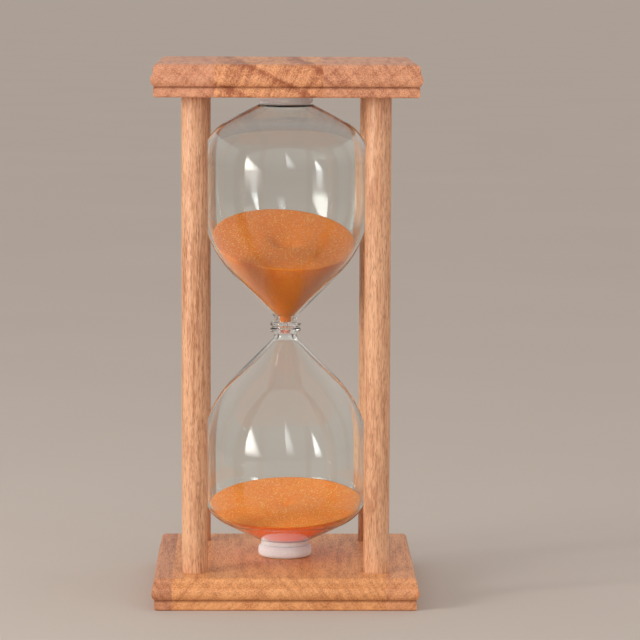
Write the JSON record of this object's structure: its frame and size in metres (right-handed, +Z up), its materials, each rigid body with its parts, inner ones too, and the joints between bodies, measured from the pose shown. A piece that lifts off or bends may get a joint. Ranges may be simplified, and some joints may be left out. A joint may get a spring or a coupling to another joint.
{
  "type": "hourglass",
  "caption": "Sand hourglass: a pair of clear blown glass bulbs with orange sand, held between two square moulded beech plates joined by round posts.",
  "frame": {"origin": "centre of the base's underside, on the surface it stands on", "axes": "+Z up along the glass axis; +X to the right and +Y to the back, with the boards' end grain on the front (-Y) face"},
  "size_m": [0.123, 0.123, 0.25],
  "materials": {
    "beech_board": "satin lacquered beech, end grain on the front and back faces",
    "beech_post": "satin lacquered beech dowel, grain along its length",
    "white_pad": "soft matt white moulding",
    "white_stopper": "white plastic",
    "clear_glass": "clear blown borosilicate glass",
    "orange_sand": "fine dyed sand, matt"
  },
  "bodies": {
    "root": {"base_stave_1": "beech_board", "base_stave_2": "beech_board", "base_stave_3": "beech_board", "base_stave_4": "beech_board", "top_stave_1": "beech_board", "top_stave_2": "beech_board", "top_stave_3": "beech_board", "post_front_left": "beech_post", "post_front_right": "beech_post", "post_rear_left": "beech_post", "post_rear_right": "beech_post", "lower_pad": "white_pad", "upper_pad": "white_pad", "lower_stopper": "white_stopper", "upper_bulb": "clear_glass", "lower_bulb": "clear_glass", "upper_sand": "orange_sand", "lower_sand": "orange_sand"}
  },
  "joints": []
}
